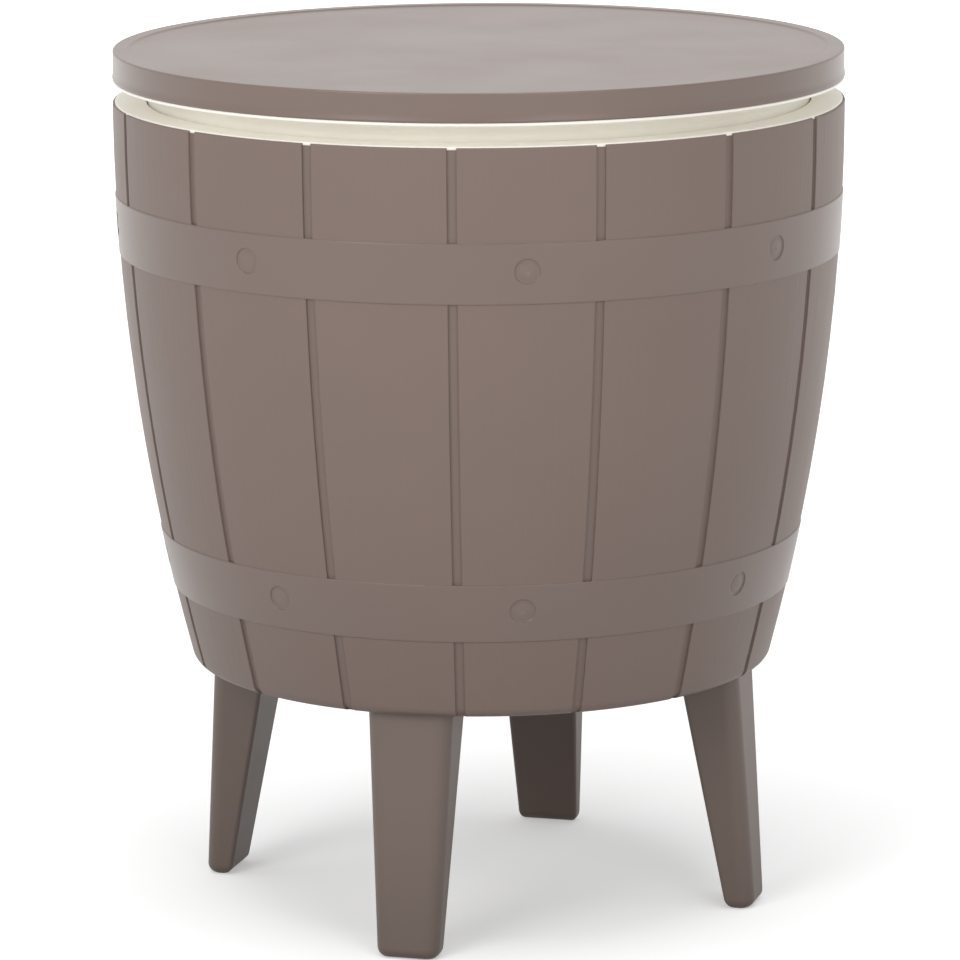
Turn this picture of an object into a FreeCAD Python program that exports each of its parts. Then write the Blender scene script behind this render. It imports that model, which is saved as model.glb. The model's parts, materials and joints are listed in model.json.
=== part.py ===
import FreeCAD, Part
import math
import os
from FreeCAD import Vector

# Barrel-shaped cooler table. Millimetres, +Z up, origin on the ground in the middle of the four feet.
# Angles are counted from the front (-Y) towards the right (+X).

# Overall sizes
tabletop_radius = 240.0
leg_height = 162.0
barrel_height = 373.8
finger_gap = 15.6
skirt_height = 18.6

# Barrel shell
barrel_rim_reach = 0.5
barrel_taper = 48.9
barrel_wall = 3.8
barrel_floor = 3.8
barrel_corner = 8.0
barrel_lip_width = 1.3
barrel_edge_round = 1.0
stave_count = 16
stave_groove_width = 6.0
stave_groove_depth = 1.6
first_groove_angle = 11.25

# Hoops, and the rivet heads that sit in round dimples
hoop_width = 38.8
hoop_height = 0.6
hoop_top_bevel = 0.4
hoop_foot_bevel = 0.4
upper_hoop_drop = 59.9
lower_hoop_drop = 282.3
rivets_per_hoop = 8
first_rivet_angle = 22.5
rivet_dimple_radius = 8.1
rivet_dimple_depth = 0.75
rivet_head_radius = 5.9
rivet_head_drop = 0.15
rivet_dome_rise = 0.5
rivet_lift = 1.4

# Tub
liner_wall = 2.5
liner_flange_thickness = 2.0
liner_flange_proud = 0.7
liner_flange_width = 20.8
mouth_depth = 13.8
lid_ledge_width = 12.2
tub_floor_inset = 17.6
tub_corner = 14.0
liner_edge_round = 0.8
floor_insulation_thickness = 21.1

# Tabletop
tabletop_plate = 3.0
tabletop_edge_round = 1.0
border_width = 11.5
field_depth = 0.9
skirt_wall = 3.0
skirt_flare = 0.7
skirt_flare_height = 4.5
skirt_flare_round = 18.0
lip_drop = 2.3
lip_upstand = 8.6
lid_base_wall = 2.5
lid_base_floor = 4.0
cove_radius = 9.0
seal_squeezed = 2.3
seal_groove_depth = 2.0
seal_width = 6.8
seal_inset = 3.0
boss_radius = 6.0
lid_screw_count = 6
lid_screw_inset = 22.4
pole_screw_count = 4
pole_screw_circle = 34.0

# Pole, its lock foot and its bush
tabletop_lift = 250.0
pole_radius = 22.0
pole_wall = 3.0
pole_flange_radius = 45.0
pole_flange_thickness = 5.0
foot_neck = 5.0
foot_plug_length = 30.0
foot_pin_radius = 3.0
spigot_radius = 16.0
lug_reach = 26.6
lug_height = 8.0
lug_angle = 40.0
twist_angle = 60.0
bush_height = 25.0
washer_radius = 22.5
washer_thickness = 1.5
bush_screw_head = 4.0
bush_screw_head_radius = 6.5
bush_screw_radius = 3.0
bush_screw_length = 22.0

# Column
column_radius = 30.5
column_wall = 3.5
column_floor = 6.0
column_weep_radius = 4.0
column_flange_radius = 46.0
column_flange_thickness = 4.0
column_clearance = 5.3
keyway_width = 6.0
keyway_depth = 1.5
collar_flange_radius = 34.0
collar_flange_thickness = 4.0
ledge_thickness = 9.0
collar_screw_count = 3
collar_screw_drop = 12.0
collar_screw_radius = 2.0
gasket_thickness = 1.5
column_nut_radius = 43.0
column_nut_height = 12.0
column_nut_scallops = 8
nut_scallop_radius = 7.0
thread_end = 1.0

# Legs
leg_inset = 10.7
leg_splay = 10.2
leg_top_depth = 39.3
leg_foot_depth = 18.7
leg_top_width = 56.3
leg_foot_width = 41.4
leg_outer_corner = 10.0
leg_inner_corner = 3.0
leg_least_corner = 0.5
foot_round_width = 5.5
foot_round_depth = 7.5
foot_round_height = 6.5
foot_round_steps = 6
leg_wall = 4.0
leg_hollow_bevel = 4.0
leg_sole = 14.0
tenon_inset = 1.5
tenon_height = 7.7
leg_web = 3.0
leg_boss_radius = 6.0
leg_boss_spread = 25.0
leg_boss_length = 60.0
leg_screw_length = 26.0
first_leg_angle = 45.0
leg_names = ("leg_front_right", "leg_back_right", "leg_back_left", "leg_front_left")
pocket_wall = 3.0
pocket_roof = 3.2

# Drain, at the back between the legs
drain_angle = 180.0
drain_circle = 115.0
drain_bore_radius = 9.5
drain_tube_radius = 13.0
drain_flange_radius = 20.0
drain_flange_thickness = 2.5
drain_gasket_thickness = 1.2
drain_recess_depth = 4.0
drain_nut_flats = 38.0
drain_nut_height = 9.0
plug_reach = 25.0
plug_tip_bevel = 2.0
plug_head_radius = 16.0
plug_head_thickness = 5.0
plug_grip_width = 24.0
plug_grip_height = 17.0
plug_grip_thickness = 5.0
plug_grip_hole = 6.0
ring_section_radius = 0.9
ring_depth = 7.0

# Screws of plastic assembly
screw_radius = 2.5
screw_head_radius = 4.5
screw_head = 3.0
screw_length = 32.0
screw_slot_width = 1.2
screw_slot_depth = 1.4

# Clearances
fit_gap = 0.05
running_gap = 0.06
seat_gap = 0.2
hole_gap = 0.3
mouth_gap = 0.8
skirt_gap = 0.2
end_gap = 2.5
lock_gap = 0.4
lock_ceiling_gap = 0.6
ledge_clearance = 1.0
stop_angle = 4.0
slot_angle_gap = 2.0
foam_margin = 0.6
drain_foam_margin = 5.0
over = 1.0

# Heights worked out from the values above
barrel_bottom = leg_height
barrel_top = barrel_bottom + barrel_height
skirt_bottom = barrel_top + finger_gap
tabletop_top = skirt_bottom + skirt_height
barrel_floor_top = barrel_bottom + barrel_floor
floor_foam_bottom = barrel_floor_top + seat_gap
floor_foam_top = floor_foam_bottom + floor_insulation_thickness
liner_underside = floor_foam_top + seat_gap
tub_floor = liner_underside + liner_wall
ledge_top = barrel_top - mouth_depth
plug_bottom = ledge_top + seal_squeezed
flange_top = barrel_top + liner_flange_proud
flange_seat = flange_top - liner_flange_thickness
field_top = tabletop_top - field_depth
plate_underside = field_top - tabletop_plate
lid_floor_top = plug_bottom + lid_base_floor
lip_bottom = skirt_bottom - lip_drop

# Radii worked out from the values above
barrel_top_radius = tabletop_radius + barrel_rim_reach
barrel_bottom_radius = barrel_top_radius - barrel_taper
barrel_bulge = (barrel_height ** 2 + barrel_taper ** 2) / (2.0 * barrel_taper)
liner_flange_radius = barrel_top_radius - barrel_lip_width - seat_gap
mouth_radius = liner_flange_radius - liner_flange_width
tub_top_radius = mouth_radius - lid_ledge_width
tub_bottom_radius = barrel_bottom_radius - tub_floor_inset
plug_radius = mouth_radius - mouth_gap
lid_screw_circle = plug_radius - lid_screw_inset
upstand_radius = tabletop_radius - skirt_wall - skirt_gap
leg_top_outer = barrel_bottom_radius - leg_inset
leg_foot_outer = leg_top_outer + leg_splay
leg_top_inner = leg_top_outer - leg_top_depth
leg_foot_inner = leg_foot_outer - leg_foot_depth
column_bore = column_radius - column_wall
pole_bore = pole_radius - pole_wall

# Column and pole stack, from the bottom up
column_bottom = barrel_bottom - column_nut_height - thread_end
column_floor_top = column_bottom + column_floor
foot_bottom = column_floor_top + end_gap + bush_screw_head + washer_thickness
foot_shoulder = foot_bottom + bush_height + 2.0 * seat_gap
ledge_bottom = foot_shoulder + tabletop_lift + ledge_clearance
lock_ledge_top = ledge_bottom + ledge_thickness
lug_bottom = lock_ledge_top + lock_gap - tabletop_lift
lug_top = lug_bottom + lug_height
pocket_ceiling = lug_top + tabletop_lift + lock_ceiling_gap
pole_bottom = lug_top + foot_neck
column_top = (
    plug_bottom - pole_flange_thickness - screw_head - column_clearance - collar_flange_thickness
)

AXIS = Vector(0, 0, 1)
ORIGIN = Vector(0, 0, 0)


# Shared helpers

def around(shape, angle):
    """Copy of a shape that was built at the front, turned to its angle."""
    turned = shape.copy()
    turned.rotate(ORIGIN, AXIS, angle)
    return turned


def disc(radius, low, high, x=0.0, y=0.0):
    return Part.makeCylinder(radius, high - low, Vector(x, y, low))


def ring(inner, outer, low, high, x=0.0, y=0.0):
    return disc(outer, low, high, x, y).cut(disc(inner, low - over, high + over, x, y))


def sector(inner, outer, low, high, first_angle, last_angle):
    """Part of a ring between two angles."""
    wedge = Part.makeCylinder(outer, high - low, Vector(0, 0, low), AXIS, last_angle - first_angle)
    wedge.rotate(ORIGIN, AXIS, first_angle - 90.0)
    return wedge.cut(disc(inner, low - over, high + over))


def in_section(radius, height):
    """Point of a profile that will be turned about the axis."""
    return Vector(radius, 0, height)


def rounded_loop(corners, place):
    """Closed wire through corners (u, v) or (u, v, rounding), set in space by place(u, v)."""
    count = len(corners)
    starts = []
    ends = []
    middles = []
    for i in range(count):
        here = Vector(corners[i][0], corners[i][1], 0)
        before = Vector(corners[i - 1][0], corners[i - 1][1], 0) - here
        after = Vector(corners[(i + 1) % count][0], corners[(i + 1) % count][1], 0) - here
        rounding = corners[i][2] if len(corners[i]) > 2 else 0.0
        before.normalize()
        after.normalize()
        if rounding <= 0.0:
            starts.append(here)
            ends.append(here)
            middles.append(None)
            continue
        half = math.acos(max(-1.0, min(1.0, before.dot(after)))) / 2.0
        back = rounding / math.tan(half)
        inward = before + after
        inward.normalize()
        starts.append(here + before * back)
        ends.append(here + after * back)
        middles.append(here + inward * (rounding / math.sin(half) - rounding))
    edges = []
    for i in range(count):
        if middles[i] is not None:
            arc = Part.Arc(
                place(starts[i].x, starts[i].y),
                place(middles[i].x, middles[i].y),
                place(ends[i].x, ends[i].y),
            )
            edges.append(arc.toShape())
        line_end = starts[(i + 1) % count]
        if (line_end - ends[i]).Length > 1e-6:
            edges.append(
                Part.LineSegment(place(ends[i].x, ends[i].y), place(line_end.x, line_end.y)).toShape()
            )
    return Part.Wire(edges)


def turned(corners):
    """Solid turned about the axis from a rounded profile of (radius, height, rounding)."""
    face = Part.Face(rounded_loop(corners, in_section))
    return face.revolve(ORIGIN, AXIS, 360)


def turned_edges(edges):
    """Solid turned about the axis from profile edges in any order."""
    wire = Part.Wire(Part.__sortEdges__(edges))
    return Part.Face(wire).revolve(ORIGIN, AXIS, 360)


def profile_lines(points):
    """Straight profile edges through (radius, height) points."""
    edges = []
    for start, end in zip(points[:-1], points[1:]):
        edges.append(Part.LineSegment(in_section(*start), in_section(*end)).toShape())
    return edges


def fuse_all(shapes):
    return shapes[0].multiFuse(shapes[1:]).removeSplitter()


def screw(length, radius, head_radius, head_height):
    """Pan-head screw with a cross slot: head below z = 0, shank above it."""
    head = Part.makeCylinder(head_radius, head_height, Vector(0, 0, -head_height))
    bottom_edges = [e for e in head.Edges if abs(e.CenterOfMass.z + head_height) < 1e-6]
    head = head.makeFillet(head_height * 0.45, bottom_edges)
    body = head.fuse(Part.makeCylinder(radius, length, ORIGIN)).removeSplitter()
    slot_length = head_radius * 1.1
    for size_x, size_y in ((slot_length, screw_slot_width), (screw_slot_width, slot_length)):
        slot = Part.makeBox(
            size_x,
            size_y,
            screw_slot_depth + over,
            Vector(-size_x / 2.0, -size_y / 2.0, -head_height - over),
        )
        body = body.cut(slot)
    return body


def placed(shape, x, y, z):
    moved = shape.copy()
    moved.translate(Vector(x, y, z))
    return moved


def save(name, shape):
    if not shape.isValid():
        raise ValueError(name + " is not a valid solid")
    shape.exportStep("parts/" + name + ".step")
    print(name, len(shape.Solids), "solid(s)", round(shape.Volume / 1000.0, 2), "cm3")


# Barrel wall: one arc, upright at the top, that every layer of the wall follows

def wall_radius(height, offset=0.0):
    drop = barrel_top - height
    return barrel_top_radius - barrel_bulge + math.sqrt((barrel_bulge + offset) ** 2 - drop ** 2)


def wall_curve(offset, floor, corner, top):
    """Profile edges of the wall from top down to its floor, and the point where they end."""
    centre_radius = barrel_top_radius - barrel_bulge
    bulge = barrel_bulge + offset
    corner_height = floor + corner
    drop = barrel_top - corner_height
    corner_radius = centre_radius + math.sqrt((bulge - corner) ** 2 - drop ** 2)
    lean = Vector(corner_radius - centre_radius, 0, -drop)
    lean.normalize()
    corner_centre = in_section(corner_radius, corner_height)
    tangent = corner_centre + lean * corner
    middle_height = (top + tangent.z) / 2.0
    wall = Part.Arc(
        in_section(wall_radius(top, offset), top),
        in_section(wall_radius(middle_height, offset), middle_height),
        tangent,
    )
    halfway = lean + Vector(0, 0, -1)
    halfway.normalize()
    end = in_section(corner_radius, floor)
    bend = Part.Arc(tangent, corner_centre + halfway * corner, end)
    return [wall.toShape(), bend.toShape()], (corner_radius, floor)


def wall_arc(offset, low, high):
    """Profile edge along the wall between two heights."""
    middle = (low + high) / 2.0
    arc = Part.Arc(
        in_section(wall_radius(low, offset), low),
        in_section(wall_radius(middle, offset), middle),
        in_section(wall_radius(high, offset), high),
    )
    return arc.toShape()


def barrel_body():
    edge_low = barrel_top - barrel_edge_round
    edge_inset = barrel_edge_round * (1.0 - math.sqrt(0.5))
    outer, outer_end = wall_curve(0.0, barrel_bottom, barrel_corner, edge_low)
    inner_corner = barrel_corner - barrel_wall + over
    inner, inner_end = wall_curve(-barrel_wall, barrel_floor_top, inner_corner, flange_seat)
    hole = column_radius + hole_gap
    lip_inner = barrel_top_radius - barrel_lip_width
    floor_lines = profile_lines([outer_end, (hole, barrel_bottom), (hole, barrel_floor_top), inner_end])
    rim_lines = profile_lines([
        (wall_radius(flange_seat, -barrel_wall), flange_seat),
        (lip_inner, flange_seat),
        (lip_inner, barrel_top),
        (barrel_top_radius - barrel_edge_round, barrel_top),
    ])
    edge = Part.Arc(
        in_section(barrel_top_radius - barrel_edge_round, barrel_top),
        in_section(barrel_top_radius - edge_inset, barrel_top - edge_inset),
        in_section(wall_radius(edge_low), edge_low),
    )
    return turned_edges(outer + floor_lines + inner + rim_lines + [edge.toShape()])


def stave_grooves():
    """The channels between the staves, open at the top and as deep on the bottom corner as on the wall."""
    groove_top = barrel_top + over
    inner, inner_end = wall_curve(
        -stave_groove_depth,
        barrel_bottom + stave_groove_depth,
        barrel_corner - stave_groove_depth,
        groove_top,
    )
    outside = barrel_top_radius + hoop_height + over
    closing = profile_lines([
        inner_end,
        (inner_end[0], barrel_bottom - over),
        (outside, barrel_bottom - over),
        (outside, groove_top),
        (wall_radius(groove_top, -stave_groove_depth), groove_top),
    ])
    band = turned_edges(inner + closing)
    strip = Part.makeBox(
        stave_groove_width,
        outside,
        barrel_height + 4.0 * over,
        Vector(-stave_groove_width / 2.0, -outside, barrel_bottom - 2.0 * over),
    )
    groove = band.common(strip)
    return [around(groove, first_groove_angle + k * 360.0 / stave_count) for k in range(stave_count)]


def hoop(drop):
    """Raised band whose top edge lies the given drop below the barrel's top."""
    high = barrel_top - drop
    low = high - hoop_width
    inside = -barrel_wall / 2.0
    bevel_low = low + hoop_foot_bevel
    bevel_high = high - hoop_top_bevel
    edges = profile_lines([
        (wall_radius(low, inside), low),
        (wall_radius(low, hoop_height - hoop_foot_bevel), low),
        (wall_radius(bevel_low, hoop_height), bevel_low),
    ])
    edges.append(wall_arc(hoop_height, bevel_low, bevel_high))
    edges += profile_lines([
        (wall_radius(bevel_high, hoop_height), bevel_high),
        (wall_radius(high, hoop_height - hoop_top_bevel), high),
        (wall_radius(high, inside), high),
    ])
    edges.append(wall_arc(inside, low, high))
    return turned_edges(edges)


def at_rivets(shape):
    """A shape drawn upright round the origin, set on both hoops' surface at every rivet."""
    copies = []
    for drop in (upper_hoop_drop, lower_hoop_drop):
        height = barrel_top - drop - hoop_width / 2.0 + rivet_lift
        lean = math.degrees(math.asin((barrel_top - height) / barrel_bulge))
        front = shape.copy()
        front.rotate(ORIGIN, Vector(1, 0, 0), 90.0 + lean)
        front.translate(Vector(0, -wall_radius(height, hoop_height), height))
        for k in range(rivets_per_hoop):
            copies.append(around(front, first_rivet_angle + k * 360.0 / rivets_per_hoop))
    return copies


def rivet_head():
    """Low dome that stands in its dimple and ends just below the hoop's surface."""
    root = -barrel_wall / 2.0
    crown = -rivet_head_drop
    shoulder = crown - rivet_dome_rise
    dome_radius = (rivet_head_radius ** 2 + rivet_dome_rise ** 2) / (2.0 * rivet_dome_rise)
    halfway = rivet_head_radius / 2.0
    dome = Part.Arc(
        in_section(rivet_head_radius, shoulder),
        in_section(halfway, crown - dome_radius + math.sqrt(dome_radius ** 2 - halfway ** 2)),
        in_section(0, crown),
    )
    lines = profile_lines([(0, crown), (0, root), (rivet_head_radius, root), (rivet_head_radius, shoulder)])
    return turned_edges(lines + [dome.toShape()])


# Legs, built at the front with their radial direction along -Y

def leg_limits(height, inset, side_inset):
    """How far a leg reaches outwards, inwards and to each side at a height, drawn in by the insets."""
    share = height / leg_height
    outer = leg_foot_outer + (leg_top_outer - leg_foot_outer) * share - inset
    inner = leg_foot_inner + (leg_top_inner - leg_foot_inner) * share + inset
    half = (leg_foot_width + (leg_top_width - leg_foot_width) * share) / 2.0 - side_inset
    return outer, inner, half


def leg_section(height, inset, side_inset=None):
    """Outline of a leg at a height, drawn in by the inset all round or by its own inset at the sides."""
    outer, inner, half = leg_limits(height, inset, inset if side_inset is None else side_inset)
    outer_corner = max(leg_outer_corner - inset, leg_least_corner)
    inner_corner = max(leg_inner_corner - inset, leg_least_corner)
    corners = [
        (-half, -outer, outer_corner),
        (half, -outer, outer_corner),
        (half, -inner, inner_corner),
        (-half, -inner, inner_corner),
    ]
    return rounded_loop(corners, lambda u, v: Vector(u, v, height))


def leg_prism(inset, low, high):
    """Upright block with the outline of a leg's top."""
    outline = leg_section(leg_height, inset)
    outline.translate(Vector(0, 0, low - leg_height))
    return Part.Face(outline).extrude(Vector(0, 0, high - low))


def leg_boss_places():
    middle = (leg_top_outer + leg_top_inner) / 2.0
    return [(side * leg_boss_spread / 2.0, -middle) for side in (-1.0, 1.0)]


def leg():
    sections = []
    for step in range(foot_round_steps):
        turn = math.pi / 2.0 * step / foot_round_steps
        height = foot_round_height * (1.0 - math.cos(turn))
        inward = 1.0 - math.sin(turn)
        sections.append(leg_section(height, foot_round_depth * inward, foot_round_width * inward))
    sections.append(leg_section(foot_round_height, 0.0))
    sections.append(leg_section(leg_height, 0.0))
    outside = Part.makeLoft(sections, True, True)
    tenon_top = leg_height + tenon_height
    whole = outside.fuse(leg_prism(tenon_inset, leg_height, tenon_top))
    hollow = leg_hollow(tenon_top)
    body = whole.cut(hollow)
    for x, y in leg_boss_places():
        body = body.cut(disc(screw_radius + fit_gap, tenon_top - leg_screw_length, tenon_top + over, x, y))
    return body


def leg_hollow(tenon_top):
    """Room inside a leg, open at the top, round its web and its screw bosses."""
    top = hollow_outline(leg_height)
    room = flat_sided(hollow_outline(leg_sole), top)
    room = room.fuse(flat_sided(top, [p + Vector(0, 0, tenon_height + over) for p in top]))
    middle = (leg_top_outer + leg_top_inner) / 2.0
    web = Part.makeBox(
        leg_top_width,
        leg_web,
        tenon_top - leg_sole + 2.0 * over,
        Vector(-leg_top_width / 2.0, -middle - leg_web / 2.0, leg_sole - over),
    )
    stiffening = [web]
    for x, y in leg_boss_places():
        stiffening.append(disc(leg_boss_radius, tenon_top - leg_boss_length, tenon_top + 2.0 * over, x, y))
    return room.removeSplitter().cut(fuse_all(stiffening))


def hollow_outline(height):
    """Corners of a leg's room at a height, bevelled where the leg is rounded."""
    outer, inner, half = leg_limits(height, leg_wall, leg_wall)
    bevel = leg_hollow_bevel
    corners = (
        (-half + bevel, -outer),
        (half - bevel, -outer),
        (half, -outer + bevel),
        (half, -inner),
        (-half, -inner),
        (-half, -outer + bevel),
    )
    return [Vector(x, y, height) for x, y in corners]


def flat_sided(lower, upper):
    """Solid with flat faces between two outlines that have parallel sides."""
    count = len(lower)
    outlines = [lower, upper]
    for i in range(count):
        j = (i + 1) % count
        outlines.append([lower[i], lower[j], upper[j], upper[i]])
    faces = [Part.Face(Part.makePolygon(points + points[:1])) for points in outlines]
    solid = Part.Solid(Part.Shell(faces))
    if solid.Volume < 0:
        solid.reverse()
    return solid


def leg_angles():
    return [first_leg_angle + k * 360.0 / len(leg_names) for k in range(len(leg_names))]


def leg_screws():
    """Two screws down into each leg, with their heads on the pocket's roof."""
    roof_top = leg_height + tenon_height + seat_gap + pocket_roof
    pin = screw(leg_screw_length, screw_radius, screw_head_radius, screw_head)
    pin.rotate(ORIGIN, Vector(1, 0, 0), 180)
    screws = []
    for angle in leg_angles():
        for x, y in leg_boss_places():
            screws.append(around(placed(pin, x, y, roof_top), angle))
    return Part.makeCompound(screws)


def barrel_shell():
    roof_bottom = leg_height + tenon_height + seat_gap
    roof_top = roof_bottom + pocket_roof
    pocket_inset = tenon_inset - hole_gap
    blocks = []
    pockets = []
    for angle in leg_angles():
        blocks.append(around(leg_prism(pocket_inset - pocket_wall, barrel_bottom, roof_top), angle))
        pocket = leg_prism(pocket_inset, barrel_bottom - over, roof_bottom)
        holes = [disc(screw_radius + hole_gap, roof_bottom - over, roof_top + over, x, y)
                 for x, y in leg_boss_places()]
        pockets.append(around(pocket.multiFuse(holes), angle))
    outer, outer_end = wall_curve(0.0, barrel_bottom, barrel_corner, barrel_top)
    core = turned_edges(outer + profile_lines([
        outer_end,
        (0, barrel_bottom),
        (0, barrel_top),
        (barrel_top_radius, barrel_top),
    ]))
    blocks = [block.common(core) for block in blocks]
    shell = barrel_body().cut(Part.makeCompound(stave_grooves()))
    shell = fuse_all([shell, hoop(upper_hoop_drop), hoop(lower_hoop_drop)] + blocks)
    drain_x, drain_y = drain_place()
    pockets.append(disc(drain_tube_radius + hole_gap, barrel_bottom - over, roof_top, drain_x, drain_y))
    dimples = at_rivets(disc(rivet_dimple_radius, -rivet_dimple_depth, over))
    shell = shell.cut(Part.makeCompound(pockets + dimples))
    return fuse_all([shell] + at_rivets(rivet_head()))


# Tub and insulation

def drain_place():
    turn = math.radians(drain_angle)
    return drain_circle * math.sin(turn), -drain_circle * math.cos(turn)


def tub_slope():
    """How much the tub's wall widens per millimetre of height."""
    return (tub_top_radius - tub_bottom_radius) / (ledge_top - tub_floor)


def liner_tub():
    slope = tub_slope()
    outer_top = tub_top_radius + liner_wall - slope * liner_wall
    outer_bottom = tub_bottom_radius + liner_wall - slope * liner_wall
    ledge_under = ledge_top - liner_wall
    body = turned([
        (column_radius + hole_gap, tub_floor),
        (tub_bottom_radius, tub_floor, tub_corner),
        (tub_top_radius, ledge_top, liner_edge_round),
        (mouth_radius, ledge_top, liner_edge_round),
        (mouth_radius, flange_top, liner_edge_round),
        (liner_flange_radius, flange_top, liner_edge_round / 2.0),
        (liner_flange_radius, flange_seat),
        (mouth_radius + liner_wall, flange_seat),
        (mouth_radius + liner_wall, ledge_under),
        (outer_top, ledge_under),
        (outer_bottom, liner_underside, tub_corner + liner_wall),
        (column_radius + hole_gap, liner_underside),
    ])
    x, y = drain_place()
    recess_floor = tub_floor - drain_recess_depth
    recess_radius = drain_flange_radius + over
    cup = disc(recess_radius + liner_wall, recess_floor - liner_wall, tub_floor - over, x, y)
    body = body.fuse(cup).removeSplitter()
    body = body.cut(disc(recess_radius, recess_floor, tub_floor + over, x, y))
    return body.cut(disc(drain_tube_radius + hole_gap, recess_floor - 2.0 * liner_wall, tub_floor, x, y))


def drain_clearance_radius():
    return drain_flange_radius + drain_foam_margin


def wall_insulation():
    slope = tub_slope()
    shift = liner_wall - slope * liner_wall + seat_gap
    ledge_under = ledge_top - liner_wall - seat_gap
    low = liner_underside
    high = flange_seat - seat_gap
    offset = -barrel_wall - seat_gap
    inner_low = tub_bottom_radius + shift + slope * (low - liner_underside)
    inner_high = tub_bottom_radius + shift + slope * (ledge_under - liner_underside)
    step = mouth_radius + liner_wall + seat_gap
    edges = [wall_arc(offset, low, high)]
    edges += profile_lines([
        (wall_radius(high, offset), high),
        (step, high),
        (step, ledge_under),
        (inner_high, ledge_under),
        (inner_low, low),
        (wall_radius(low, offset), low),
    ])
    return turned_edges(edges)


def floor_insulation():
    offset = -barrel_wall - seat_gap
    corner = barrel_corner - barrel_wall + over
    outer, outer_end = wall_curve(offset, floor_foam_bottom, corner, floor_foam_top)
    hole = column_radius + over
    lines = profile_lines([
        outer_end,
        (hole, floor_foam_bottom),
        (hole, floor_foam_top),
        (wall_radius(floor_foam_top, offset), floor_foam_top),
    ])
    body = turned_edges(outer + lines)
    x, y = drain_place()
    cuts = [disc(drain_clearance_radius(), floor_foam_bottom - over, floor_foam_top + over, x, y)]
    block_inset = tenon_inset - hole_gap - pocket_wall - foam_margin
    top = leg_height + tenon_height + seat_gap + pocket_roof + screw_head + foam_margin
    for angle in leg_angles():
        cuts.append(around(leg_prism(block_inset, floor_foam_bottom - over, top), angle))
    return body.cut(Part.makeCompound(cuts))


# Column

def column_tube():
    flange_low = tub_floor + gasket_thickness
    flange_high = flange_low + column_flange_thickness
    body = turned([
        (column_weep_radius, column_bottom),
        (column_radius, column_bottom),
        (column_radius, flange_low),
        (column_flange_radius, flange_low),
        (column_flange_radius, flange_high, liner_edge_round),
        (column_radius, flange_high, column_flange_thickness),
        (column_radius, column_top),
        (column_bore, column_top),
        (column_bore, column_floor_top),
        (column_weep_radius, column_floor_top),
    ])
    keyway = Part.makeBox(
        keyway_width,
        keyway_depth + over,
        column_top - column_floor_top + over,
        Vector(-keyway_width / 2.0, -column_bore - keyway_depth, column_floor_top),
    )
    body = body.cut(around(keyway, 90)).cut(around(keyway, -90))
    hole = Part.makeCylinder(
        collar_screw_radius + fit_gap,
        column_wall + 2.0 * over,
        Vector(0, -column_radius - over, column_top - collar_screw_drop),
        Vector(0, 1, 0),
    )
    for angle in collar_screw_angles():
        body = body.cut(around(hole, angle))
    return body


def collar_screw_angles():
    return [k * 360.0 / collar_screw_count for k in range(collar_screw_count)]


def collar_screw_length():
    return column_wall + (column_bore - pole_radius) * 0.7


def column_collar():
    """Guide in the column's top. The lugs rise through its slots, then turn in over its ledges."""
    guide_radius = pole_radius + running_gap
    insert_radius = column_bore - fit_gap
    body = turned([
        (guide_radius, ledge_bottom),
        (insert_radius, ledge_bottom),
        (insert_radius, column_top),
        (collar_flange_radius, column_top),
        (collar_flange_radius, column_top + collar_flange_thickness, collar_flange_thickness * 0.4),
        (guide_radius, column_top + collar_flange_thickness),
    ])
    half_lug = lug_angle / 2.0
    for lug in (0.0, 180.0):
        slot = sector(
            guide_radius - over,
            insert_radius + over,
            ledge_bottom - over,
            lock_ledge_top + over,
            lug - half_lug - slot_angle_gap,
            lug + half_lug + slot_angle_gap,
        )
        pocket = sector(
            guide_radius - over,
            insert_radius + over,
            lock_ledge_top,
            pocket_ceiling,
            lug - half_lug - stop_angle,
            lug + half_lug + twist_angle + stop_angle,
        )
        body = body.cut(slot).cut(pocket)
    pilot = Part.makeCylinder(
        collar_screw_radius + fit_gap,
        collar_screw_length() + over,
        Vector(0, -column_radius - over, column_top - collar_screw_drop),
        Vector(0, 1, 0),
    )
    for angle in collar_screw_angles():
        body = body.cut(around(pilot, angle))
    return body


def collar_screws():
    pin = screw(collar_screw_length(), collar_screw_radius, collar_screw_radius * 1.8, screw_head / 2.0)
    pin.rotate(ORIGIN, Vector(1, 0, 0), -90)
    pin.translate(Vector(0, -column_radius, column_top - collar_screw_drop))
    return Part.makeCompound([around(pin, angle) for angle in collar_screw_angles()])


def column_gasket():
    return ring(column_radius + fit_gap, column_flange_radius - over, tub_floor, tub_floor + gasket_thickness)


def column_nut():
    body = ring(column_radius + fit_gap, column_nut_radius, barrel_bottom - column_nut_height, barrel_bottom)
    scallop = disc(
        nut_scallop_radius,
        barrel_bottom - column_nut_height - over,
        barrel_bottom + over,
        0.0,
        -column_nut_radius - nut_scallop_radius * 0.4,
    )
    for k in range(column_nut_scallops):
        body = body.cut(around(scallop, k * 360.0 / column_nut_scallops))
    return body


# Pole and what rides on its end

def pole_tube():
    flange_low = plug_bottom - pole_flange_thickness
    body = turned([
        (pole_bore, pole_bottom),
        (pole_radius, pole_bottom),
        (pole_radius, flange_low, pole_flange_thickness * 0.4),
        (pole_flange_radius, flange_low, liner_edge_round),
        (pole_flange_radius, plug_bottom),
        (pole_bore, plug_bottom),
    ])
    for x, y in circle_places(pole_screw_count, pole_screw_circle):
        body = body.cut(disc(screw_radius + hole_gap, flange_low - over, plug_bottom + over, x, y))
    return body.cut(foot_pin_hole())


def circle_places(count, radius):
    """Places evenly round a circle, the first one half a step from the front."""
    places = []
    for k in range(count):
        turn = 2.0 * math.pi * (k + 0.5) / count
        places.append((radius * math.sin(turn), -radius * math.cos(turn)))
    return places


def foot_pin_height():
    return pole_bottom + foot_plug_length / 2.0


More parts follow.
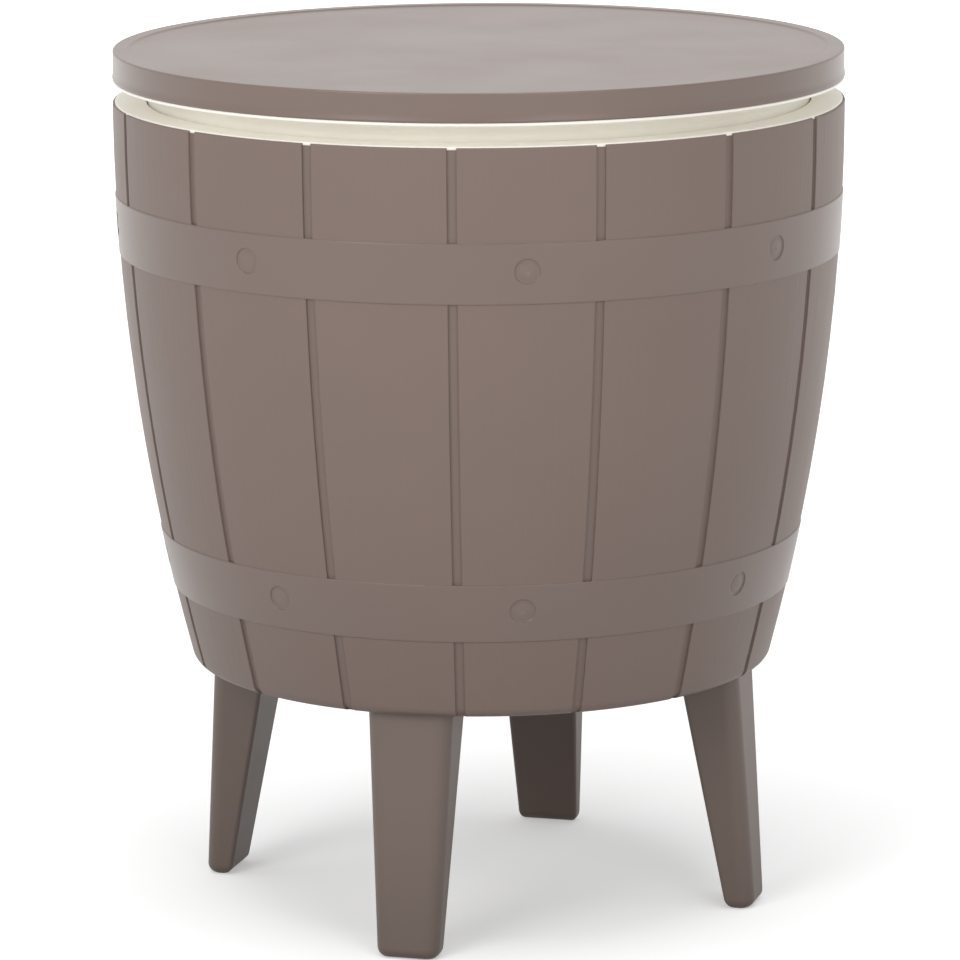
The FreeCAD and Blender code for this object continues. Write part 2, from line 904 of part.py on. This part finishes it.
def foot_pin_hole():
    return Part.makeCylinder(
        foot_pin_radius + fit_gap,
        2.0 * pole_radius + 2.0 * over,
        Vector(-pole_radius - over, 0, foot_pin_height()),
        Vector(1, 0, 0),
    )


def foot_pin():
    length = 2.0 * (pole_radius - seat_gap)
    return Part.makeCylinder(
        foot_pin_radius,
        length,
        Vector(-length / 2.0, 0, foot_pin_height()),
        Vector(1, 0, 0),
    )


def lock_foot():
    body = turned([
        (bush_screw_radius + fit_gap, foot_bottom),
        (spigot_radius, foot_bottom),
        (spigot_radius, foot_shoulder),
        (pole_radius, foot_shoulder, liner_edge_round),
        (pole_radius, pole_bottom),
        (pole_bore - fit_gap, pole_bottom),
        (pole_bore - fit_gap, pole_bottom + foot_plug_length, over),
        (bush_screw_radius + fit_gap, pole_bottom + foot_plug_length),
    ])
    for lug in (0.0, 180.0):
        piece = sector(
            spigot_radius,
            lug_reach,
            lug_bottom,
            lug_top,
            lug - lug_angle / 2.0,
            lug + lug_angle / 2.0,
        )
        body = body.fuse(piece)
    return body.removeSplitter().cut(foot_pin_hole())


def glide_bush():
    low = foot_bottom + seat_gap
    high = low + bush_height
    outer = column_bore - fit_gap
    body = ring(spigot_radius + running_gap, outer, low, high)
    key = Part.makeBox(
        keyway_width - 2.0 * fit_gap,
        keyway_depth + over,
        bush_height,
        Vector(-keyway_width / 2.0 + fit_gap, -outer - keyway_depth, low),
    )
    return fuse_all([body, around(key, 90), around(key, -90)])


def bush_washer():
    low = foot_bottom - washer_thickness
    return ring(bush_screw_radius + fit_gap, washer_radius, low, foot_bottom)


def bush_screw():
    pin = screw(bush_screw_length, bush_screw_radius, bush_screw_head_radius, bush_screw_head)
    return placed(pin, 0, 0, foot_bottom - washer_thickness)


# Tabletop

def tabletop_shell():
    field_radius = tabletop_radius - border_width
    inner = tabletop_radius - skirt_wall
    body = turned([
        (0, field_top),
        (field_radius, field_top, field_depth / 2.0),
        (field_radius + field_depth * 2.0, tabletop_top, field_depth / 2.0),
        (tabletop_radius, tabletop_top, tabletop_edge_round),
        (tabletop_radius, skirt_bottom + skirt_flare_height, skirt_flare_round),
        (tabletop_radius + skirt_flare, skirt_bottom, liner_edge_round),
        (inner, skirt_bottom),
        (inner, plate_underside, tabletop_edge_round),
        (0, plate_underside),
    ])
    bosses = []
    pilots = []
    for count, radius in ((lid_screw_count, lid_screw_circle), (pole_screw_count, pole_screw_circle)):
        for x, y in circle_places(count, radius):
            bosses.append(disc(boss_radius, lid_floor_top, plate_underside, x, y))
            pilots.append(disc(screw_radius + fit_gap, lid_floor_top - over,
                               plug_bottom + screw_length + over, x, y))
    return fuse_all([body] + bosses).cut(Part.makeCompound(pilots))


def lid_base():
    """Cream pan under the top: floor, plug wall, cove, a lip under the skirt and an upstand inside it."""
    lip_top = lip_bottom + lid_base_wall
    upstand_top = lip_top + lip_upstand
    lip_shoulder = skirt_bottom - seat_gap
    body = turned([
        (0, plug_bottom),
        (plug_radius, plug_bottom, liner_edge_round),
        (plug_radius, lip_bottom, cove_radius),
        (tabletop_radius, lip_bottom, liner_edge_round),
        (tabletop_radius, lip_shoulder),
        (upstand_radius, lip_shoulder),
        (upstand_radius, upstand_top),
        (upstand_radius - lid_base_wall, upstand_top),
        (upstand_radius - lid_base_wall, lip_top),
        (plug_radius - lid_base_wall, lip_top, cove_radius),
        (plug_radius - lid_base_wall, lid_floor_top, liner_edge_round),
        (0, lid_floor_top),
    ])
    body = body.cut(ring(*seal_radii(hole_gap), plug_bottom - over, plug_bottom + seal_groove_depth))
    holes = []
    for count, radius in ((lid_screw_count, lid_screw_circle), (pole_screw_count, pole_screw_circle)):
        for x, y in circle_places(count, radius):
            holes.append(disc(screw_radius + hole_gap, plug_bottom - over, lid_floor_top + over, x, y))
    return body.cut(Part.makeCompound(holes))


def seal_radii(gap):
    outer = plug_radius - seal_inset
    return outer - seal_width - gap, outer + gap


def lid_seal():
    inner, outer = seal_radii(0.0)
    top = plug_bottom + seal_groove_depth
    return turned([
        (inner, ledge_top, liner_edge_round),
        (outer, ledge_top, liner_edge_round),
        (outer, top),
        (inner, top),
    ])


def lid_insulation():
    body = disc(plug_radius - lid_base_wall - cove_radius / 2.0, lid_floor_top + seat_gap,
                plate_underside - seat_gap)
    holes = []
    for count, radius in ((lid_screw_count, lid_screw_circle), (pole_screw_count, pole_screw_circle)):
        for x, y in circle_places(count, radius):
            holes.append(disc(boss_radius + seat_gap, lid_floor_top, plate_underside, x, y))
    return body.cut(Part.makeCompound(holes))


def lid_screws():
    pin = screw(screw_length, screw_radius, screw_head_radius, screw_head)
    places = circle_places(lid_screw_count, lid_screw_circle)
    return Part.makeCompound([placed(pin, x, y, plug_bottom) for x, y in places])


def pole_screws():
    pin = screw(screw_length, screw_radius, screw_head_radius, screw_head)
    places = circle_places(pole_screw_count, pole_screw_circle)
    return Part.makeCompound([placed(pin, x, y, plug_bottom - pole_flange_thickness) for x, y in places])


# Drain, built on the axis and then moved to its place

def at_drain(shape):
    x, y = drain_place()
    return placed(shape, x, y, 0)


def drain_tube_end():
    return barrel_bottom - drain_nut_height - thread_end


def drain_fitting():
    flange_low = tub_floor - drain_recess_depth + drain_gasket_thickness
    body = turned([
        (drain_bore_radius, drain_tube_end()),
        (drain_tube_radius, drain_tube_end()),
        (drain_tube_radius, flange_low),
        (drain_flange_radius, flange_low),
        (drain_flange_radius, flange_low + drain_flange_thickness, liner_edge_round),
        (drain_bore_radius, flange_low + drain_flange_thickness, liner_edge_round),
    ])
    return at_drain(body)


def drain_gasket():
    low = tub_floor - drain_recess_depth
    return at_drain(ring(drain_tube_radius + fit_gap, drain_flange_radius - over, low,
                         low + drain_gasket_thickness))


def drain_nut():
    low = barrel_bottom - drain_nut_height
    reach = drain_nut_flats / math.sqrt(3.0)
    corners = []
    for k in range(6):
        turn = math.radians(60.0 * k)
        corners.append((reach * math.cos(turn), reach * math.sin(turn), over))
    outline = rounded_loop(corners, lambda u, v: Vector(u, v, low))
    body = Part.Face(outline).extrude(Vector(0, 0, drain_nut_height))
    return at_drain(body.cut(disc(drain_tube_radius + fit_gap, low - over, barrel_bottom + over)))


def ring_height():
    return drain_tube_end() + plug_reach - ring_depth


def ring_centre_radius():
    return drain_bore_radius - fit_gap - ring_section_radius


def drain_plug():
    stem = drain_bore_radius - running_gap
    end = drain_tube_end()
    groove_low = ring_height() - ring_section_radius - fit_gap
    groove_high = ring_height() + ring_section_radius + fit_gap
    groove_radius = ring_centre_radius() - ring_section_radius - fit_gap
    body = turned([
        (0, end - plug_head_thickness),
        (plug_head_radius, end - plug_head_thickness, over),
        (plug_head_radius, end, over),
        (stem, end),
        (stem, groove_low),
        (groove_radius, groove_low),
        (groove_radius, groove_high),
        (stem, groove_high),
        (stem, end + plug_reach - plug_tip_bevel),
        (stem - plug_tip_bevel, end + plug_reach),
        (0, end + plug_reach),
    ])
    grip_top = end - plug_head_thickness
    half = plug_grip_width / 2.0
    outline = rounded_loop([
        (-half, grip_top + over),
        (-half, grip_top - plug_grip_height, half * 0.8),
        (half, grip_top - plug_grip_height, half * 0.8),
        (half, grip_top + over),
    ], lambda u, v: Vector(u, -plug_grip_thickness / 2.0, v))
    grip = Part.Face(outline).extrude(Vector(0, plug_grip_thickness, 0))
    hole = Part.makeCylinder(
        plug_grip_hole,
        plug_grip_thickness + 2.0 * over,
        Vector(0, -plug_grip_thickness / 2.0 - over, grip_top - plug_grip_height * 0.55),
        Vector(0, 1, 0),
    )
    return at_drain(body.fuse(grip.cut(hole)).removeSplitter())


def drain_ring():
    return at_drain(Part.makeTorus(ring_centre_radius(), ring_section_radius, Vector(0, 0, ring_height())))


PIECES = {
    "barrel_shell": barrel_shell,
    "liner_tub": liner_tub,
    "wall_insulation": wall_insulation,
    "floor_insulation": floor_insulation,
    "column_tube": column_tube,
    "column_collar": column_collar,
    "collar_screws": collar_screws,
    "column_gasket": column_gasket,
    "column_nut": column_nut,
    "leg_screws": leg_screws,
    "drain_fitting": drain_fitting,
    "drain_gasket": drain_gasket,
    "drain_nut": drain_nut,
    "drain_plug": drain_plug,
    "drain_ring": drain_ring,
    "tabletop_shell": tabletop_shell,
    "lid_base": lid_base,
    "lid_insulation": lid_insulation,
    "lid_seal": lid_seal,
    "lid_screws": lid_screws,
    "pole_tube": pole_tube,
    "pole_screws": pole_screws,
    "lock_foot": lock_foot,
    "foot_pin": foot_pin,
    "glide_bush": glide_bush,
    "bush_washer": bush_washer,
    "bush_screw": bush_screw,
}


def main():
    os.makedirs("parts", exist_ok=True)
    for name, make in PIECES.items():
        save(name, make())
    one_leg = leg()
    for name, angle in zip(leg_names, leg_angles()):
        save(name, around(one_leg, angle))


main()
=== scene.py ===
import json
import math

import bpy
from mathutils import Matrix, Vector

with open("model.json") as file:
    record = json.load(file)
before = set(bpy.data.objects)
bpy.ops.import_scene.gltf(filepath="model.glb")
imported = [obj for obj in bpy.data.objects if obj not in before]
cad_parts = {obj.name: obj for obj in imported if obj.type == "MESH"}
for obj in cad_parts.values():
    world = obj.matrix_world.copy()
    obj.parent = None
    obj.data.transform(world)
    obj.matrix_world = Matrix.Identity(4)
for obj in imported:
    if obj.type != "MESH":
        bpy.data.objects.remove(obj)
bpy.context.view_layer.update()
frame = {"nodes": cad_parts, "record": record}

# The hoops' heights and the radius on which the grain is laid out, in metres, as the solids have them
HOOP_BANDS = ((0.2147, 0.2535), (0.4371, 0.4759))
GRAIN_RADIUS = 0.22

# Camera of the photograph
CAMERA_AZIMUTH = -29.66
CAMERA_DISTANCE = 3.776
CAMERA_HEIGHT = 1.0394
CAMERA_PITCH = 11.39
CAMERA_ROLL = -0.30
FOCAL_PIXELS = 5778.8
FRAME_SHIFT = -0.0008
IMAGE_PIXELS = 960
SENSOR_WIDTH = 36.0
CAMERA_REACH = 100.0

# Colours, as sRGB 0 to 255
TAUPE = (119, 102, 94)
# The legs' colour is the barrel's taupe made darker: painted shade from the barrel above them
LEG_TAUPE_PAINTED_SHADE = (114, 99, 91)
CREAM = (253, 249, 240)
DARK_FITTING = (52, 49, 46)
FOAM_WHITE = (238, 238, 232)
BLACK_RUBBER = (28, 28, 28)
STEEL = (190, 190, 188)

# How much darker and lighter than its colour a material gets, as factors of the linear colour
PLASTIC_SHADES = (0.97, 1.03)
FOAM_SEAM_SHADE = 0.78
RUBBER_SHADES = (0.8, 1.6)
STEEL_SHADES = (0.85, 1.05)

# Roughness of each material, lowest and highest
TAUPE_ROUGH = (0.28, 0.36)
LEG_ROUGH = (0.44, 0.52)
CREAM_ROUGH = (0.3, 0.4)
FITTING_ROUGH = (0.4, 0.5)
RUBBER_ROUGH = (0.6, 0.8)
STEEL_ROUGH = (0.24, 0.4)
FOAM_ROUGH = 0.85
BARE_STAVE_ROUGHER = 0.18
PLASTIC_IOR = 1.49

# Depth of the surface detail, in metres
PEEL_DEPTH = 0.00003
GRAIN_DEPTH = 0.0004
BEAD_DEPTH = 0.0003
GRIT_DEPTH = 0.00005
TOOL_MARK_DEPTH = 0.00002
EDGE_SOFTNESS = 0.0014
EDGE_SAMPLES = 8

# Noises: cells per metre, layers of finer detail, and how strong the finer layers are
CLOUDS = (9.0, 3.0, 0.55)
PEEL = (1400.0, 2.0, 0.6)
WANDER = (14.0, 2.0, 0.5)
FINE_GRAIN = (420.0, 3.0, 0.6)
BROAD_GRAIN = (110.0, 2.0, 0.5)
GRIT = (900.0, 3.0, 0.7)
TOOL_MARKS = (3000.0, 2.0, 0.6)
NOISE_SPAN = (0.3, 0.7)
GLOSS_SPAN = (0.35, 0.65)
PEEL_SHARE = 0.4
FINE_GRAIN_SHARE = 0.5

# How far the grain wanders sideways, in metres, and the factors that draw out grain and tool marks
WANDER_REACH = 0.004
GRAIN_STRETCH = 0.035
TOOL_MARK_STRETCH = 0.15

# Foam beads: cells per metre, and the share of a cell that its seam takes
BEADS = 260.0
BEAD_SEAM = 0.12

# Light levels, and the distances from the middle, in metres, between which the floor's own light rises
WHITE = (1.0, 1.0, 1.0, 1.0)
WORLD_DIFFUSE = 0.5
WORLD_GLOSSY = 1.0
WORLD_SEEN = 1.0
FLOOR_GREY = 0.1
FLOOR_GLOW = 0.9
FLOOR_GLOW_REACH = (0.3, 0.75)
PALE_GREY = 0.9
PALE_LIFT = (0.35, 1.0)
PALE_LIFT_REACH = (1.0, 4.0)
FLOOR_SIZE = 60.0

# Lamps: name, degrees from the camera's azimuth, elevation, distance, size in metres, watts
LAMPS = (
    ("key", -35.0, 26.0, 4.0, 2.0, 44.5),
    ("fill", 25.0, 22.0, 4.5, 2.0, 27.0),
    ("top", 0.0, 85.0, 3.5, 2.6, 53.0),
)
LAMP_TARGET = (0.0, 0.0, 0.33)


def linear(colour):
    """sRGB 0 to 255 as linear RGBA."""
    out = []
    for value in colour:
        c = value / 255.0
        out.append(c / 12.92 if c <= 0.04045 else ((c + 0.055) / 1.055) ** 2.4)
    return (*out, 1.0)


# Node helpers

class Nodes:
    """Short names for building one material's nodes."""

    def __init__(self, name):
        self.material = bpy.data.materials.new(name)
        self.material.use_nodes = True
        self.tree = self.material.node_tree
        self.tree.nodes.clear()
        self.out = self.tree.nodes.new("ShaderNodeOutputMaterial")
        self.shader = self.tree.nodes.new("ShaderNodeBsdfPrincipled")
        self.link(self.shader.outputs["BSDF"], self.out.inputs["Surface"])
        self.place = self.tree.nodes.new("ShaderNodeTexCoord").outputs["Object"]

    def link(self, start, end):
        self.tree.links.new(start, end)

    def feed(self, value, socket):
        if hasattr(value, "is_output"):
            self.link(value, socket)
        else:
            socket.default_value = value

    def math(self, operation, a, b=0.0, clamp=False):
        node = self.tree.nodes.new("ShaderNodeMath")
        node.operation = operation
        node.use_clamp = clamp
        self.feed(a, node.inputs[0])
        self.feed(b, node.inputs[1])
        return node.outputs[0]

    def split(self, vector):
        node = self.tree.nodes.new("ShaderNodeSeparateXYZ")
        self.feed(vector, node.inputs[0])
        return node.outputs

    def vector(self, x, y, z):
        node = self.tree.nodes.new("ShaderNodeCombineXYZ")
        for value, socket in zip((x, y, z), node.inputs):
            self.feed(value, socket)
        return node.outputs[0]

    def noise(self, vector, kind):
        node = self.tree.nodes.new("ShaderNodeTexNoise")
        for name, number in zip(("Scale", "Detail", "Roughness"), kind):
            node.inputs[name].default_value = number
        self.feed(vector, node.inputs["Vector"])
        return node.outputs["Fac"]

    def cell_edges(self, vector, scale):
        node = self.tree.nodes.new("ShaderNodeTexVoronoi")
        node.feature = "DISTANCE_TO_EDGE"
        node.inputs["Scale"].default_value = scale
        self.feed(vector, node.inputs["Vector"])
        return node.outputs["Distance"]

    def spread(self, value, span, new_span=(0.0, 1.0)):
        node = self.tree.nodes.new("ShaderNodeMapRange")
        for number, socket in zip((*span, *new_span), node.inputs[1:5]):
            socket.default_value = number
        self.feed(value, node.inputs[0])
        return node.outputs[0]

    def blend(self, first, second, share):
        """The share of the first value added to the rest of the second."""
        parts = (self.math("MULTIPLY", first, share), self.math("MULTIPLY", second, 1.0 - share))
        return self.math("ADD", *parts)

    def colour(self, factor, first, second):
        """The shader's colour, from the first to the second as the factor rises."""
        node = self.tree.nodes.new("ShaderNodeMix")
        node.data_type = "RGBA"
        self.feed(factor, node.inputs[0])
        self.feed(first, node.inputs[6])
        self.feed(second, node.inputs[7])
        self.link(node.outputs[2], self.shader.inputs["Base Color"])

    def soft_edges(self, radius):
        node = self.tree.nodes.new("ShaderNodeBevel")
        node.samples = EDGE_SAMPLES
        node.inputs["Radius"].default_value = radius
        return node.outputs["Normal"]

    def bump(self, height, distance, under=None):
        node = self.tree.nodes.new("ShaderNodeBump")
        node.inputs["Strength"].default_value = 1.0
        node.inputs["Distance"].default_value = distance
        self.feed(height, node.inputs["Height"])
        if under is not None:
            self.link(under, node.inputs["Normal"])
        return node.outputs["Normal"]


def shade(colour, factor):
    """A linear colour made lighter or darker."""
    return (*(min(1.0, c * factor) for c in colour[:3]), 1.0)


def shades(colour, factors):
    return [shade(colour, factor) for factor in factors]


# Materials

def moulded_skin(nodes, colour, rough_range, rougher=None):
    """Fine skin of moulded plastic: a slight orange peel and cloudy gloss. Returns its surface normal."""
    clouds = nodes.noise(nodes.place, CLOUDS)
    peel = nodes.noise(nodes.place, PEEL)
    nodes.colour(nodes.spread(clouds, NOISE_SPAN), *shades(colour, PLASTIC_SHADES))
    rough = nodes.spread(nodes.blend(peel, clouds, PEEL_SHARE), GLOSS_SPAN, rough_range)
    if rougher is not None:
        rough = nodes.math("ADD", rough, rougher)
    nodes.link(rough, nodes.shader.inputs["Roughness"])
    nodes.shader.inputs["IOR"].default_value = PLASTIC_IOR
    return nodes.bump(peel, PEEL_DEPTH, under=nodes.soft_edges(EDGE_SOFTNESS))


def stave_plastic():
    """Taupe barrel plastic: shallow wood grain that runs up the staves and leaves the hoops smooth."""
    nodes = Nodes("taupe_stave_plastic")
    x, y, z = nodes.split(nodes.place)
    turn = nodes.math("MULTIPLY", nodes.math("ARCTAN2", y, x), GRAIN_RADIUS)
    wander = nodes.math("MULTIPLY", nodes.noise(nodes.place, WANDER), WANDER_REACH)
    along = nodes.vector(nodes.math("ADD", turn, wander), nodes.math("MULTIPLY", z, GRAIN_STRETCH), 0.0)
    fine = nodes.noise(along, FINE_GRAIN)
    broad = nodes.noise(along, BROAD_GRAIN)
    grain = nodes.blend(fine, broad, FINE_GRAIN_SHARE)
    cover = None
    for low, high in HOOP_BANDS:
        above = nodes.math("GREATER_THAN", z, low)
        below = nodes.math("LESS_THAN", z, high)
        band = nodes.math("MULTIPLY", above, below)
        cover = band if cover is None else nodes.math("ADD", cover, band, clamp=True)
    bare = nodes.math("SUBTRACT", 1.0, cover)
    rougher = nodes.math("MULTIPLY", bare, BARE_STAVE_ROUGHER)
    skin = moulded_skin(nodes, linear(TAUPE), TAUPE_ROUGH, rougher)
    height = nodes.math("MULTIPLY", grain, bare)
    nodes.link(nodes.bump(height, GRAIN_DEPTH, skin), nodes.shader.inputs["Normal"])
    return nodes.material


def smooth_plastic(name, colour, rough_range):
    """Moulded plastic without grain."""
    nodes = Nodes(name)
    skin = moulded_skin(nodes, linear(colour), rough_range)
    nodes.link(skin, nodes.shader.inputs["Normal"])
    return nodes.material


def foam():
    """Expanded foam: packed beads with dark seams."""
    nodes = Nodes("foam_beads")
    edge = nodes.cell_edges(nodes.place, BEADS)
    seam = nodes.spread(edge, (0.0, BEAD_SEAM))
    white = linear(FOAM_WHITE)
    nodes.colour(seam, shade(white, FOAM_SEAM_SHADE), white)
    nodes.shader.inputs["Roughness"].default_value = FOAM_ROUGH
    nodes.link(nodes.bump(seam, BEAD_DEPTH), nodes.shader.inputs["Normal"])
    return nodes.material


def rubber():
    """Soft black rubber with a fine grit."""
    nodes = Nodes("black_rubber")
    grit = nodes.noise(nodes.place, GRIT)
    nodes.colour(grit, *shades(linear(BLACK_RUBBER), RUBBER_SHADES))
    nodes.link(nodes.spread(grit, NOISE_SPAN, RUBBER_ROUGH), nodes.shader.inputs["Roughness"])
    nodes.link(nodes.bump(grit, GRIT_DEPTH), nodes.shader.inputs["Normal"])
    return nodes.material


def steel():
    """Turned stainless steel with fine tool marks."""
    nodes = Nodes("turned_steel")
    x, y, z = nodes.split(nodes.place)
    across = [nodes.math("MULTIPLY", side, TOOL_MARK_STRETCH) for side in (x, y)]
    marks = nodes.noise(nodes.vector(*across, z), TOOL_MARKS)
    nodes.colour(marks, *shades(linear(STEEL), STEEL_SHADES))
    nodes.shader.inputs["Metallic"].default_value = 1.0
    nodes.link(nodes.spread(marks, NOISE_SPAN, STEEL_ROUGH), nodes.shader.inputs["Roughness"])
    nodes.link(nodes.bump(marks, TOOL_MARK_DEPTH), nodes.shader.inputs["Normal"])
    return nodes.material


def dress():
    """Gives every solid of the model its finished material."""
    staves = stave_plastic()
    # The legs take the darker taupe, which is painted shade from the barrel over them
    shaded_legs = smooth_plastic("leg_plastic_painted_shade", LEG_TAUPE_PAINTED_SHADE, LEG_ROUGH)
    by_slot = {
        "body_plastic": smooth_plastic("taupe_plastic", TAUPE, TAUPE_ROUGH),
        "tub_plastic": smooth_plastic("cream_plastic", CREAM, CREAM_ROUGH),
        "fitting_plastic": smooth_plastic("dark_fitting_plastic", DARK_FITTING, FITTING_ROUGH),
        "insulation": foam(),
        "rubber": rubber(),
        "steel": steel(),
    }
    for row in frame["record"]["subparts"]:
        node = frame["nodes"][row["node"]]
        material = by_slot[row["material_slot"]]
        if row["node"] == "barrel_shell":
            material = staves
        if row["node"].startswith("leg_") and row["material_slot"] == "body_plastic":
            material = shaded_legs
        for place in node.material_slots:
            place.material = material


# Studio

def ray_mix(tree, kinds):
    """1 for the named kinds of ray, else 0."""
    path = tree.nodes.new("ShaderNodeLightPath")
    total = None
    for kind in kinds:
        out = path.outputs[kind]
        if total is None:
            total = out
            continue
        add = tree.nodes.new("ShaderNodeMath")
        add.operation = "MAXIMUM"
        tree.links.new(total, add.inputs[0])
        tree.links.new(out, add.inputs[1])
        total = add.outputs[0]
    return total


def white_sky(tree, strength):
    sky = tree.nodes.new("ShaderNodeBackground")
    sky.inputs["Color"].default_value = WHITE
    sky.inputs["Strength"].default_value = strength
    return sky.outputs[0]


def mix_shaders(tree, factor, first, second):
    mix = tree.nodes.new("ShaderNodeMixShader")
    for value, socket in zip((factor, first, second), mix.inputs):
        tree.links.new(value, socket)
    return mix.outputs[0]


def studio_world():
    """Soft light all round, white to the camera and in reflections."""
    world = bpy.data.worlds.new("studio")
    bpy.context.scene.world = world
    world.use_nodes = True
    tree = world.node_tree
    tree.nodes.clear()
    out = tree.nodes.new("ShaderNodeOutputWorld")
    mirrored = ray_mix(tree, ("Is Glossy Ray", "Is Transmission Ray"))
    light = mix_shaders(tree, mirrored, white_sky(tree, WORLD_DIFFUSE), white_sky(tree, WORLD_GLOSSY))
    whole = mix_shaders(tree, ray_mix(tree, ("Is Camera Ray",)), light, white_sky(tree, WORLD_SEEN))
    tree.links.new(whole, out.inputs[0])


def by_distance(tree, reach_range, low, high):
    """A strength that rises with the distance from the object's middle."""
    place = tree.nodes.new("ShaderNodeTexCoord")
    reach = tree.nodes.new("ShaderNodeVectorMath")
    reach.operation = "LENGTH"
    rise = tree.nodes.new("ShaderNodeMapRange")
    for number, socket in zip((*reach_range, low, high), rise.inputs[1:5]):
        socket.default_value = number
    tree.links.new(place.outputs["Object"], reach.inputs[0])
    tree.links.new(reach.outputs["Value"], rise.inputs[0])
    return rise.outputs[0]


def lit_paper(tree, grey, strength):
    """Diffuse paper with some light of its own."""
    paper = tree.nodes.new("ShaderNodeBsdfDiffuse")
    paper.inputs["Color"].default_value = (grey, grey, grey, 1.0)
    lift = tree.nodes.new("ShaderNodeEmission")
    tree.links.new(strength, lift.inputs["Strength"])
    both = tree.nodes.new("ShaderNodeAddShader")
    tree.links.new(paper.outputs[0], both.inputs[0])
    tree.links.new(lift.outputs[0], both.inputs[1])
    return both.outputs[0]


def studio_floor():
    """Pale floor that keeps the shadow, looks white to camera and reflections, and is clear from below."""
    half = FLOOR_SIZE / 2.0
    mesh = bpy.data.meshes.new("floor")
    mesh.from_pydata([(-half, -half, 0), (half, -half, 0), (half, half, 0), (-half, half, 0)], [],
                     [(0, 1, 2, 3)])
    floor = bpy.data.objects.new("floor", mesh)
    bpy.context.scene.collection.objects.link(floor)
    material = bpy.data.materials.new("floor_paper")
    material.use_nodes = True
    tree = material.node_tree
    tree.nodes.clear()
    out = tree.nodes.new("ShaderNodeOutputMaterial")
    dim = lit_paper(tree, FLOOR_GREY, by_distance(tree, FLOOR_GLOW_REACH, 0.0, FLOOR_GLOW))
    pale = lit_paper(tree, PALE_GREY, by_distance(tree, PALE_LIFT_REACH, *PALE_LIFT))
    seen = ray_mix(tree, ("Is Camera Ray", "Is Glossy Ray", "Is Transmission Ray"))
    paper = mix_shaders(tree, seen, dim, pale)
    clear = tree.nodes.new("ShaderNodeBsdfTransparent")
    side = tree.nodes.new("ShaderNodeNewGeometry")
    one_way = mix_shaders(tree, side.outputs["Backfacing"], paper, clear.outputs[0])
    tree.links.new(one_way, out.inputs[0])
    mesh.materials.append(material)


def area_light(name, azimuth, elevation, distance, size, power):
    """Soft light at an azimuth counted as the camera's is, aimed at the object's middle."""
    light = bpy.data.lights.new(name, "AREA")
    light.shape = "DISK"
    light.size = size
    light.energy = power
    a, e = math.radians(azimuth), math.radians(elevation)
    away = Vector((math.sin(a) * math.cos(e), -math.cos(a) * math.cos(e), math.sin(e)))
    lamp = bpy.data.objects.new(name, light)
    lamp.location = Vector(LAMP_TARGET) + away * distance
    lamp.rotation_mode = "QUATERNION"
    lamp.rotation_quaternion = (-away).to_track_quat("-Z", "Y")
    lamp.visible_camera = False
    bpy.context.scene.collection.objects.link(lamp)


def studio_lights():
    """Key, fill and top light, placed from the camera's azimuth."""
    for name, turn, *rest in LAMPS:
        area_light(name, CAMERA_AZIMUTH + turn, *rest)


def photo_camera():
    """The camera that was fitted to the photograph."""
    data = bpy.data.cameras.new("photo_camera")
    data.sensor_width = SENSOR_WIDTH
    data.lens = FOCAL_PIXELS / IMAGE_PIXELS * SENSOR_WIDTH
    data.shift_x = FRAME_SHIFT
    data.clip_end = CAMERA_REACH
    camera = bpy.data.objects.new("photo_camera", data)
    a = math.radians(CAMERA_AZIMUTH)
    place = Vector((CAMERA_DISTANCE * math.sin(a), -CAMERA_DISTANCE * math.cos(a), CAMERA_HEIGHT))
    turn = Matrix.Rotation(a, 4, "Z") @ Matrix.Rotation(math.radians(90.0 - CAMERA_PITCH), 4, "X")
    roll = Matrix.Rotation(math.radians(CAMERA_ROLL), 4, "Z")
    camera.matrix_world = Matrix.Translation(place) @ turn @ roll
    bpy.context.scene.collection.objects.link(camera)
    bpy.context.scene.camera = camera


dress()
studio_world()
studio_floor()
studio_lights()
photo_camera()
bpy.context.scene.view_settings.view_transform = "Standard"
